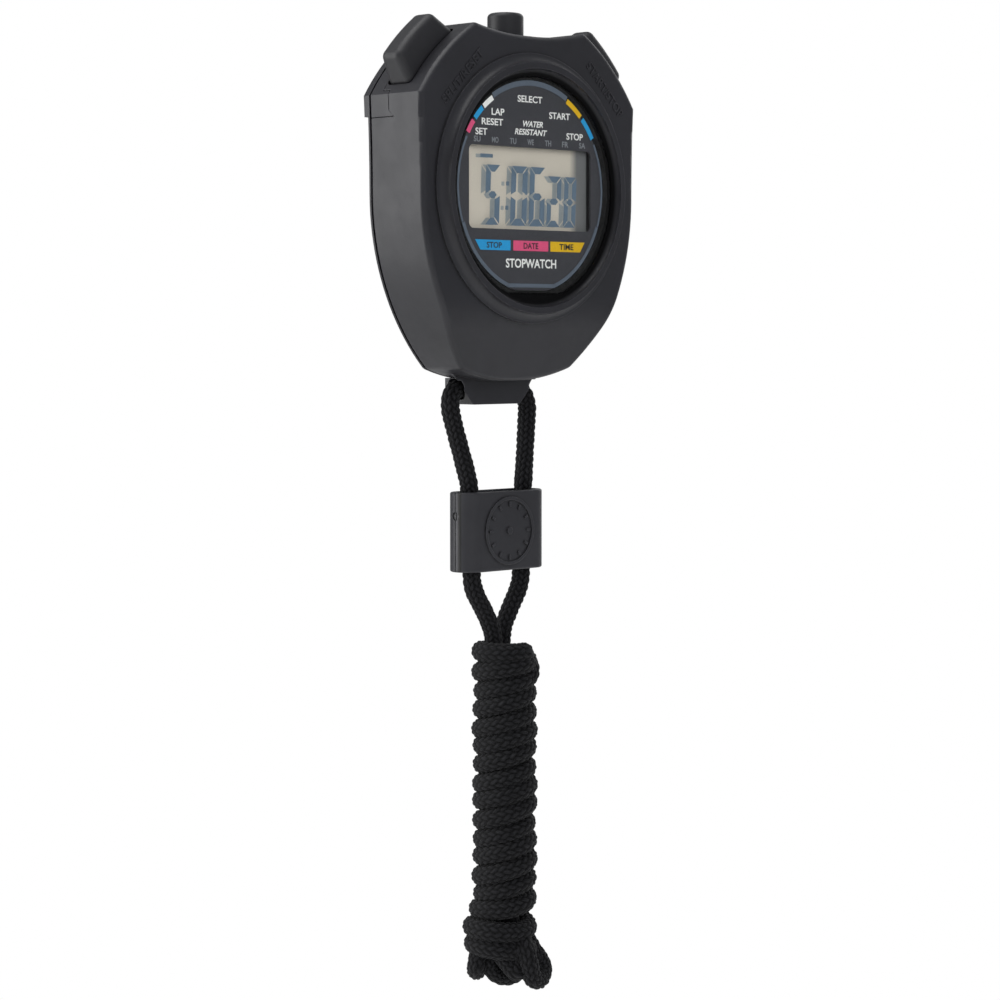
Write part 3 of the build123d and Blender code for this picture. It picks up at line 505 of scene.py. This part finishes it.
# Outline band around the dial: a broad arc on top, thin sides, broader lower sides and a flat
# at the bottom. Angles are in degrees about the dial's axis, anticlockwise from +X.
arc_inner = 21.3
arc_outer = 22.4
band_outer = 21.6
thin_inner = 21.1
broad_inner = 20.8
add_print("dial_outline", [
    ring_band(61.3, 121.3, arc_inner, arc_outer),
    ring_band(152, 200, thin_inner, band_outer),
    ring_band(-20, 28, thin_inner, band_outer),
    ring_band(200.5, 251, broad_inner, band_outer),
    ring_band(-71, -20.5, broad_inner, band_outer),
    rounded_box(-7.1, -20.5, 7.1, -19.7, 0.1),
], ring_front, ink["slate"])

mark_inner = 20.95
mark_outer = 22.05
for name, spans in (
    ("white", [(122.0, 130.7)]),
    ("blue", [(131.8, 140.1), (31.3, 44.8)]),
    ("pink", [(141.8, 149.6)]),
    ("yellow", [(46.7, 60.6)]),
):
    marks = [ring_band(start, end, mark_inner, mark_outer) for start, end in spans]
    add_print(f"dial_mark_{name}", marks, ring_front, ink[name])

# Function words around the display: words, centre and width.
label_cap = 1.4
for words, centre, width in (
    ("SELECT", (-0.4, 18.5), 7.3), ("LAP", (-9.8, 15.4), 3.7), ("RESET", (-11.4, 13.3), 6.2),
    ("SET", (-14.6, 11.2), 3.4), ("START", (8.5, 15.5), 6.3), ("STOP", (13.1, 11.4), 5.0),
):
    add_word(
        f"label_{words.lower()}", words, centre, width, label_cap, dial_print_front, ink["white"],
        weight=0.018,
    )
small_cap = 1.25
for words, centre, width in (("WATER", (0.5, 13.4), 5.9), ("RESISTANT", (-0.1, 11.7), 9.6)):
    add_word(
        f"label_{words.lower()}", words, centre, width, small_cap, dial_print_front, ink["white"],
        slant=0.25,
    )

weekday_start = -15.8
weekday_spacing = 5.2
weekday_height = 9.65
weekday_width = 1.9
weekday_cap = 1.2
for i, words in enumerate(("SU", "MO", "TU", "WE", "TH", "FR", "SA")):
    centre = (weekday_start + weekday_spacing * i, weekday_height)
    add_word(
        f"weekday_{words.lower()}", words, centre, weekday_width, weekday_cap, dial_print_front,
        ink["grey"],
    )

# Colour boxes under the display, each with a dark word: the box's ends at its bottom and at
# its top, then the word's middle and width.
box_top = -10.8
box_bottom = -12.9
box_middle = (box_top + box_bottom) / 2
for name, words, (left, right), (top_left, top_right), middle, width in (
    ("blue", "STOP", (-14.9, -6.15), (-16.4, -6.15), -10.9, 4.4),
    ("pink", "DATE", (-5.3, 5.1), (-5.3, 5.1), -0.1, 4.4),
    ("yellow", "TIME", (5.75, 14.8), (5.75, 16.2), 10.6, 4.3),
):
    box = [(left, box_bottom), (right, box_bottom), (top_right, box_top), (top_left, box_top)]
    add_print(f"mode_box_{name}", [box], dial_print_front, ink[name])
    add_word(
        f"mode_word_{words.lower()}", words, (middle, box_middle), width, small_cap,
        upper_print_front, ink["dark"], weight=0.025,
    )

title_centre = (0, -15.5)
title_width = 15.0
title_cap = 1.9
add_word(
    "dial_title", "STOPWATCH", title_centre, title_width, title_cap, dial_print_front, ink["white"],
)


# ---------------------------------------------------------------- liquid crystal display

segment_width = 1.45
small_segment_width = 1.305
segment_gap = 0.2
segment_names = {"0": "abcdef", "2": "abged", "5": "afgcd", "6": "afgecd", "8": "abcdefg"}


def anticlockwise(outline):
    """The outline, turned round if it runs clockwise."""
    area = sum(a[0] * b[1] - b[0] * a[1] for a, b in zip(outline, outline[1:] + outline[:1]))
    return outline if area > 0 else outline[::-1]


def digit_segments(digit, left, bottom, right, top, width):
    """Outlines of one seven-segment digit, with slanted gaps between its segments."""
    gap = segment_gap
    half = width / 2
    middle = (top + bottom) / 2
    long_left = left + gap
    long_right = right - gap
    short_left = left + width + gap
    short_right = right - width - gap
    shapes = {
        "a": [(short_left, top - width), (short_right, top - width), (long_right, top), (long_left, top)],
        "d": [
            (long_left, bottom), (long_right, bottom),
            (short_right, bottom + width), (short_left, bottom + width),
        ],
        "g": [
            (left + half + gap, middle), (short_left, middle - half), (short_right, middle - half),
            (right - half - gap, middle), (short_right, middle + half), (short_left, middle + half),
        ],
    }
    for upper, lower, outer, inner in (("f", "e", left, left + width), ("b", "c", right, right - width)):
        shapes[upper] = [
            (outer, top - gap), (inner, top - width - gap),
            (inner, middle + half + gap), (outer, middle + gap),
        ]
        shapes[lower] = [
            (outer, bottom + gap), (outer, middle - gap),
            (inner, middle - half - gap), (inner, bottom + width + gap),
        ]
    return [anticlockwise(shapes[name]) for name in segment_names[digit]]


# Digits shown: the digit, its left and right ends, its top and its segments' width.
digit_bottom = -7.7
big_top = 4.6
small_top = 2.9
digit_slant = 0.045               # how far the digits lean to the right, per height
lit = []
for digit, left, right, top, width in (
    ("5", -13.2, -9.0, big_top, segment_width),
    ("0", -5.8, -1.0, big_top, segment_width),
    ("6", -0.3, 4.3, big_top, segment_width),
    ("2", 5.0, 9.2, small_top, small_segment_width),
    ("8", 10.1, 13.8, small_top, small_segment_width),
):
    lit += digit_segments(digit, left, digit_bottom, right, top, width)
colon_size = 0.85
colon_left = -7.3
for middle in (0.9, -4.1):
    lit.append(rounded_box(
        colon_left, middle - colon_size / 2, colon_left + colon_size, middle + colon_size / 2, 0.12, 2,
    ))
lit.append(rounded_box(-15.0, 6.0, -11.4, 6.75, 0.1, 2))
lit = [[(x + digit_slant * (z - digit_bottom), z) for x, z in outline] for outline in lit]

# The segments' shadow on the film is a second, paler print, and they cast none of their own.
shadow_shift = 0.3
cast = [[(x - shadow_shift, z) for x, z in outline] for outline in lit]
segment_depth = 0.05              # behind the glass's front
film_depth = 0.06                 # in front of its back
film_front = glass_back - film_depth
cast_front = film_front - print_thickness - print_gap
film_half_width = 18.4
film_half_height = 8.8
film = rounded_box(-film_half_width, -film_half_height, film_half_width, film_half_height, 0.3)

crystal = printed("crystal_segment", "#61758A", 0.5)
shadow = printed("crystal_shadow", "#A2A7AA", 0.6)
segments = add_print("display_segments", lit, glass_front + segment_depth, crystal)
segments.visible_shadow = False
add_print("display_shadow", cast, cast_front, shadow)
add_print("display_film", [film], film_front, finishes["display_backing"])


# ---------------------------------------------------------------- raised words on the case

raised = 0.13
case_word_cap = 1.9
for name, words, centre, width, turn in (
    ("case_word_lap", "SPLIT/RESET", (-20.3, 22.1), 15.2, 45.0),
    ("case_word_start", "START/STOP", (22.0, 21.8), 14.6, -45.0),
):
    add_word(
        name, words, centre, width, case_word_cap, face_front - raised, finishes["case_plastic"],
        turn=turn, depth=2 * raised, weight=0.005,
    )


# ---------------------------------------------------------------- braided cord

cord_radius = 1.9
braid_relief = 0.4
braid_strands = 12                # strands each way round
braid_pitch = 1.4                 # length of one crossing, along the cord
braid_around = 72                 # mesh columns round the cord
braid_step = 0.13                 # mesh rows along the cord
crown_narrowing = 1.85            # above 1 it leaves a groove between strands
end_rounding = 0.8                # length over which a cord's cut end closes
curve_samples = 24                # points between two given ones, before they are spaced evenly
fibre_scale = np.array([9, 1.1, 3.7])    # noise across a strand, along it and from strand to strand
rng = np.random.default_rng(7)


def travelled(path):
    """Distance along a path at each of its points."""
    return np.concatenate([[0], np.cumsum(np.linalg.norm(np.diff(path, axis=0), axis=1))])


def even_steps(dense):
    """Points at equal steps along a polyline."""
    length = travelled(dense)
    count = max(2, int(length[-1] / braid_step))
    at = np.linspace(0, length[-1], count)
    return np.stack([np.interp(at, length, dense[:, k]) for k in range(3)], axis=1)


def smooth_curve(points):
    """Evenly spaced points along a Catmull-Rom curve through the given ones."""
    points = np.array(points, float)
    ends = np.vstack([2 * points[0] - points[1], points, 2 * points[-1] - points[-2]])
    t = np.linspace(0, 1, curve_samples, endpoint=False)[:, None]
    pieces = []
    for p0, p1, p2, p3 in zip(ends, ends[1:], ends[2:], ends[3:]):
        square = 2 * p0 - 5 * p1 + 4 * p2 - p3
        cube = 3 * p1 - p0 - 3 * p2 + p3
        pieces.append(0.5 * (2 * p1 + (p2 - p0) * t + square * t**2 + cube * t**3))
    return even_steps(np.vstack(pieces + [points[-1:]]))


def carried_frames(path):
    """Two directions across the path at every point, carried along without twisting."""
    along = np.gradient(path, axis=0)
    along /= np.linalg.norm(along, axis=1)[:, None]
    across = np.zeros_like(path)
    guess = np.array([0.3, 1.0, 0.2])
    for i, t in enumerate(along):
        guess = guess - t * guess.dot(t)
        guess /= np.linalg.norm(guess)
        across[i] = guess
    return across, np.cross(along, across)


def weave(around, s):
    """Height of the two-over, two-under braid, from 0 to 1, and each point's place in its strand."""
    a = braid_strands * around / (2 * pi) + s / braid_pitch
    b = braid_strands * around / (2 * pi) - s / braid_pitch
    a_cell = np.floor(a)
    b_cell = np.floor(b)
    on_top = np.mod(a_cell + b_cell, 4) < 2
    phase_a = np.mod(a + b_cell, 4)
    phase_b = np.mod(b + a_cell - 2, 4)
    across = np.where(on_top, b - b_cell - 0.5, a - a_cell - 0.5)
    phase = np.clip(np.where(on_top, phase_a, phase_b), 0, 2)
    crown = np.sqrt(np.clip(1 - (crown_narrowing * across) ** 2, 0, 1))
    height = crown * np.sqrt(np.sin(pi * phase / 2).clip(0, 1))
    number = np.where(on_top, b_cell, a_cell + 0.5)
    return height, np.stack([across, phase, number], axis=-1) * fibre_scale


def drifting(s, margin, values):
    """Values spread evenly along the cord, and a margin past its end, as a column."""
    places = np.linspace(0, s[-1, 0] + margin, len(values))
    return np.interp(s[:, 0], places, values)[:, None]


def tube_faces(rows):
    """Faces of a closed tube: rows of points round it, followed by one point for each end."""
    row = np.arange(rows - 1)[:, None] * braid_around
    column = np.arange(braid_around)
    following = (column + 1) % braid_around
    next_row = row + braid_around
    quads = np.stack([row + column, row + following, next_row + following, next_row + column], axis=-1)
    last = (rows - 1) * braid_around
    start_point = np.full(braid_around, rows * braid_around)
    start_cap = np.stack([following, column, start_point], axis=1)
    end_cap = np.stack([last + column, last + following, start_point + 1], axis=1)
    return quads.reshape(-1, 4).tolist() + start_cap.tolist() + end_cap.tolist()


def store(mesh, name, values):
    """Keep per-point values on a mesh, zero at the two points that close its ends."""
    kind, key = ("FLOAT_VECTOR", "vector") if values.ndim == 2 else ("FLOAT", "value")
    attribute = mesh.attributes.new(name, kind, "POINT")
    closing = np.zeros((2,) + values.shape[1:])
    attribute.data.foreach_set(key, np.concatenate([values, closing]).astype(np.float32).ravel())


def braided_cord(name, path, radius_scale=1.0, spread=1.0):
    """Braided cord along a path, as a closed mesh with its weave stored for the shader.

    Spread widens it up and down, as a wrapped cord flattens against the one inside it.
    """
    across, up = carried_frames(path)
    s = travelled(path)[:, None]
    around = np.linspace(0, 2 * pi, braid_around, endpoint=False)[None, :]
    twist = drifting(s, 9, rng.normal(0, 0.12, 40).cumsum() * 0.6)
    thickness = drifting(s, 3, rng.normal(0, 0.03, 90))
    height, strand = weave(around + twist, s + 0 * around)
    radius = radius_scale * cord_radius + braid_relief * (height - 0.5) + thickness
    from_end = np.minimum(s, s[-1] - s).clip(0, end_rounding) / end_rounding
    radius = radius * np.sqrt(1 - 0.75 * (1 - from_end) ** 2)
    outward = np.cos(around)[..., None] * across[:, None, :] + np.sin(around)[..., None] * up[:, None, :]
    grid = path[:, None, :] + radius[..., None] * outward * np.array([1, 1, spread])
    vertices = np.vstack([grid.reshape(-1, 3), path[:1], path[-1:]]) * MM
    mesh = bpy.data.meshes.new(name)
    mesh.from_pydata(vertices.tolist(), [], tube_faces(len(path)))
    mesh.update()
    mesh.shade_smooth()
    store(mesh, "strand", strand.reshape(-1, 3))
    store(mesh, "crown", height.reshape(-1))
    return mesh


def add_cord_piece(name, meshes, replaced):
    """One piece from several cord runs; it stands for the plain CAD cord."""
    parts = [bpy.data.objects.new(f"{name}_run", mesh) for mesh in meshes]
    for part in parts:
        bpy.context.scene.collection.objects.link(part)
    piece = parts[0]
    with bpy.context.temp_override(active_object=piece, selected_editable_objects=parts, object=piece):
        bpy.ops.object.join()
    piece.name = name
    piece.data.materials.clear()
    piece.data.materials.append(finishes["cord_braid"])
    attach(piece, "lanyard")
    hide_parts(replaced)


# Neck strands: out of the lug on both sides, through the slider and into the bundle. Places
# are across, in front of the parting plane, and up.
parting_y = -2.5
neck_scale = 0.95                 # a little thinner, as it is pulled tight
tunnel_middle = (0, 1.5, -41.5)
half_strand = [
    (4.0, 1.5, -41.5), (8.0, 1.5, -41.55), (10.5, 1.65, -42.6), (11.45, 2.1, -45.4),
    (10.8, 2.6, -49.5), (8.5, 4.1, -60.0), (8.0, 4.3, -64.0), (7.5, 4.35, -79.0), (6.8, 4.4, -84.0),
]
left_tail = [(4.1, 4.9, -89.0), (2.3, 5.3, -93.0), (1.8, 5.5, -97.5)]
right_tail = [(4.1, 4.2, -89.0), (2.3, 4.0, -93.0), (1.8, 4.0, -97.5)]
left_strand = [(-x, depth, z) for x, depth, z in reversed(half_strand + left_tail)]
strands = left_strand + [tunnel_middle] + half_strand + right_tail
neck_path = smooth_curve([(x, parting_y - depth, z) for x, depth, z in strands])
add_cord_piece("neck_cord_braid", [braided_cord("neck_run", neck_path, neck_scale)], "neck_cord")

# Wrapped bundle. Angles are in degrees about its axis, anticlockwise from +X seen from above.
bundle_low, bundle_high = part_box("cord_bundle")
bundle_x = (bundle_low.x + bundle_high.x) / 2 / MM
bundle_y = (bundle_low.y + bundle_high.y) / 2 / MM
bundle_top = bundle_high.z / MM
bundle_bottom = bundle_low.z / MM
first_z = bundle_top - cord_radius
right_side = -45.0                # seen from the front left corner
wrap_radius = 4.9
wrap_spread = 1.07
wrap_pitch = (bundle_top - bundle_bottom) / 17
wrap_points = 24                  # points in each wrap
loosening = 0.12                  # extra drop of each wrap below the sixth
upper_lean = 0.8                  # how far a wrap's right side stands above its middle
lower_lean = -1.5
lower_start = 13.6                # wraps from here on change to the lowest ones' form
lower_change = 1.8                # over this many
lower_drop = 1.2                  # gap above them
lower_bulge = 1.9                 # how far they stand out, most of all towards this angle
bulge_side = 150


def bundle_point(angle, radius, z):
    """Place given by its angle about the bundle's axis and its distance from it."""
    return (bundle_x + radius * cos(radians(angle)), bundle_y + radius * sin(radians(angle)), z)


def beside(*places):
    """Places given by their angle past the right side, distance from the axis and drop."""
    return [bundle_point(right_side + angle, radius, first_z - drop) for angle, radius, drop in places]


def wraps(first, last):
    """Turns of the bundle between two counts; they lean, and the lowest ones lean the other way."""
    points = []
    for count in np.arange(first, last, 1 / wrap_points):
        angle = right_side - 360 * count
        low_end = np.clip((count - lower_start) / lower_change, 0, 1)
        lean = upper_lean * (1 - low_end) + lower_lean * low_end
        lean *= np.clip((count - 1) / 2, 0, 1)
        swell = 0.15 * sin(1.7 * count) + 0.108 * sin(4.1 * count + 1)
        bulge = lower_bulge * low_end * max(0, cos(radians(angle - bulge_side)))
        drop = wrap_pitch * max(0, count - 0.5) + loosening * max(0, count - 6) + lower_drop * low_end
        drop -= lean * cos(radians(angle - right_side)) + 0.22 * sin(2.3 * count + 0.5)
        points.append(bundle_point(angle, wrap_radius + swell + bulge, first_z - drop))
    return points


# The two uppermost wraps are one run and the rest another, which crosses over them at the right.
upper_run = beside((20, 2.6, 1.4), (-8, 4.0, 0.5)) + wraps(0.1, 1.9) + beside((20, 4.0, 6.6), (-15, 2.2, 7.5))
crossing = beside((95, 1.6, 3.4), (60, 3.2, 1.3), (32, 4.4, 1.2), (10, 5.2, 2.6), (-4, 5.4, 4.4))
tuck = [
    bundle_point(right_side - 118, 3.5, bundle_bottom + 0.8),
    bundle_point(right_side - 164, 1.5, bundle_bottom + 1.8),
]
lower_run = crossing + wraps(2.06, 17.2) + tuck
bundle_runs = [
    braided_cord("upper_run", smooth_curve(upper_run), spread=wrap_spread),
    braided_cord("lower_run", smooth_curve(lower_run), spread=wrap_spread),
]

# Three strands twisted together inside the wraps.
core_radius = 1.75
core_turn = 40                    # degrees from one point to the next
core_step = 3.4
core_depth = 3.5                  # how far their ends are below the bundle's top
for i in range(3):
    core = [
        bundle_point(90 + 120 * i + core_turn * k, core_radius, bundle_top - core_depth - core_step * k)
        for k in range(18)
    ]
    bundle_runs.append(braided_cord(f"core_run_{i}", smooth_curve(core)))
add_cord_piece("cord_bundle_braid", bundle_runs, "cord_bundle")


# Loops that hang out of the bundle's lower end. Places are across, away and up from the end.

def seen(across, away, up):
    """Place given by its distances to the right and away, seen from the front left corner."""
    diagonal = cos(pi / 4)
    return (
        bundle_x + (across + away) * diagonal, bundle_y + (away - across) * diagonal, bundle_bottom + up,
    )


hanging = [
    [(-4.6, -2.0, 3.0), (-5.6, -2.6, -1.0), (-6.0, -2.2, -3.6), (-6.0, 0.0, -4.9), (-5.8, 2.2, -3.2),
     (-4.8, 2.0, 2.0)],
    [(-2.8, -1.0, 2.5), (-3.0, -1.8, -2.0), (-2.4, -1.6, -4.6), (-0.2, -1.4, -5.8), (2.2, -1.8, -5.0),
     (2.9, -1.6, -1.6), (2.4, 0.0, 2.0)],
    [(-1.0, 2.6, 2.0), (-1.4, 2.2, -1.0), (-0.2, 1.6, -3.0), (2.4, 1.2, -4.2), (5.0, 1.8, -3.2),
     (5.6, 2.6, 1.0)],
    [(3.4, -2.0, 2.6), (4.4, -4.6, 0.8), (5.2, -5.2, -2.4), (6.0, -4.0, -5.6), (7.4, -1.8, -6.4),
     (8.2, 0.6, -4.7), (7.0, 1.6, -2.2), (4.6, 2.0, 0.6)],
    [(1.6, -3.0, 3.0), (2.6, -4.4, 0.4), (3.9, -3.4, -3.2), (5.6, -1.0, -4.6), (6.4, 1.2, -2.0),
     (4.4, 2.0, 2.0)],
]
loop_runs = [
    braided_cord(f"loop_run_{number}", smooth_curve([seen(*place) for place in places]))
    for number, places in enumerate(hanging)
]
add_cord_piece("cord_loops_braid", loop_runs, "cord_end_loops")


# ---------------------------------------------------------------- studio

# The camera looks from the front left corner, slightly down.
camera_place = (-0.4072, -0.4151, -0.0293)
camera_heading = 45.0             # to the right of straight ahead
camera_pitch = 3.58
camera_data = bpy.data.cameras.new("camera")
camera_data.lens = 97.9
camera = bpy.data.objects.new("camera", camera_data)
camera.location = camera_place
camera.rotation_euler = (radians(90 - camera_pitch), 0, radians(-camera_heading))
bpy.context.scene.collection.objects.link(camera)
bpy.context.scene.camera = camera


light_target = Vector((0, -0.01, -0.03))


def soft_box(name, place, size, power, shines=True):
    """Rectangular soft light aimed at the object; one that doesn't shine makes no highlight."""
    data = bpy.data.lights.new(name, "AREA")
    data.shape = "RECTANGLE"
    data.size, data.size_y = size
    data.energy = power
    lamp = bpy.data.objects.new(name, data)
    lamp.location = place
    lamp.visible_glossy = shines
    lamp.rotation_euler = (light_target - Vector(place)).to_track_quat("-Z", "Y").to_euler()
    bpy.context.scene.collection.objects.link(lamp)


soft_box("left_box", (-0.85, 0.62, 0.10), (0.7, 1.1), 8.0)
soft_box("top_box", (-0.25, 0.05, 0.95), (0.9, 0.9), 6.0)
soft_box("right_box", (1.0, 0.2, 0.35), (0.6, 1.0), 2.0)
soft_box("camera_fill", (-0.35, -1.05, 0.35), (0.8, 0.8), 7.5, shines=False)

# Floor that curves up into a backdrop, behind the object as the camera sees it.
floor_drop = 0.2                  # below the object
floor_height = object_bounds()[0][2] - floor_drop
floor_near = -2.5
wall_start = 1.6
wall_curve = 0.8                  # radius where the floor turns into the wall
wall_height = 3.2
backdrop_half_width = 3.5
profile = [(floor_near, 0.0)]
for angle in range(0, 91, 6):
    a = radians(angle)
    profile.append((wall_start + wall_curve * sin(a), wall_curve - wall_curve * cos(a)))
profile.append((wall_start + wall_curve, wall_height))
turn = Matrix.Rotation(radians(-camera_heading), 4, "Z")
sides = (-backdrop_half_width, backdrop_half_width)
backdrop_points = [turn @ Vector((side, y, floor_height + z)) for side in sides for y, z in profile]
count = len(profile)
backdrop_mesh = bpy.data.meshes.new("backdrop")
backdrop_mesh.from_pydata(
    backdrop_points, [], [(i, i + 1, count + i + 1, count + i) for i in range(count - 1)],
)
backdrop_mesh.shade_smooth()
backdrop = bpy.data.objects.new("backdrop", backdrop_mesh)
bpy.context.scene.collection.objects.link(backdrop)

# It is plain white to the camera and pale paper to the light.
paper = Recipe("paper")
rays = paper.node("ShaderNodeLightPath")
glow = paper.node("ShaderNodeEmission", Strength=1.0)
shade = paper.node("ShaderNodeBsdfDiffuse", Color=(0.8, 0.8, 0.8, 1.0))
choice = paper.node("ShaderNodeMixShader")
paper.join(rays.outputs["Is Camera Ray"], choice.inputs["Fac"])
paper.join(shade.outputs["BSDF"], choice.inputs[1])
paper.join(glow.outputs["Emission"], choice.inputs[2])
paper.join(choice.outputs["Shader"], paper.output.inputs["Surface"])
backdrop_mesh.materials.append(paper.material)

# Faint light from all round, and plain white where the camera sees past the backdrop.
world = bpy.data.worlds.new("studio")
world.use_nodes = True
sky = world.node_tree
ambient = sky.nodes["Background"]
ambient.inputs["Color"].default_value = (0.95, 0.97, 1.0, 1.0)
ambient.inputs["Strength"].default_value = 0.28
white = sky.nodes.new("ShaderNodeBackground")
white.inputs["Color"].default_value = (1.0, 1.0, 1.0, 1.0)
sky_rays = sky.nodes.new("ShaderNodeLightPath")
sky_choice = sky.nodes.new("ShaderNodeMixShader")
sky.links.new(sky_rays.outputs["Is Camera Ray"], sky_choice.inputs["Fac"])
sky.links.new(ambient.outputs["Background"], sky_choice.inputs[1])
sky.links.new(white.outputs["Background"], sky_choice.inputs[2])
sky.links.new(sky_choice.outputs["Shader"], sky.nodes["World Output"].inputs["Surface"])
bpy.context.scene.world = world
bpy.context.scene.view_settings.view_transform = "Standard"
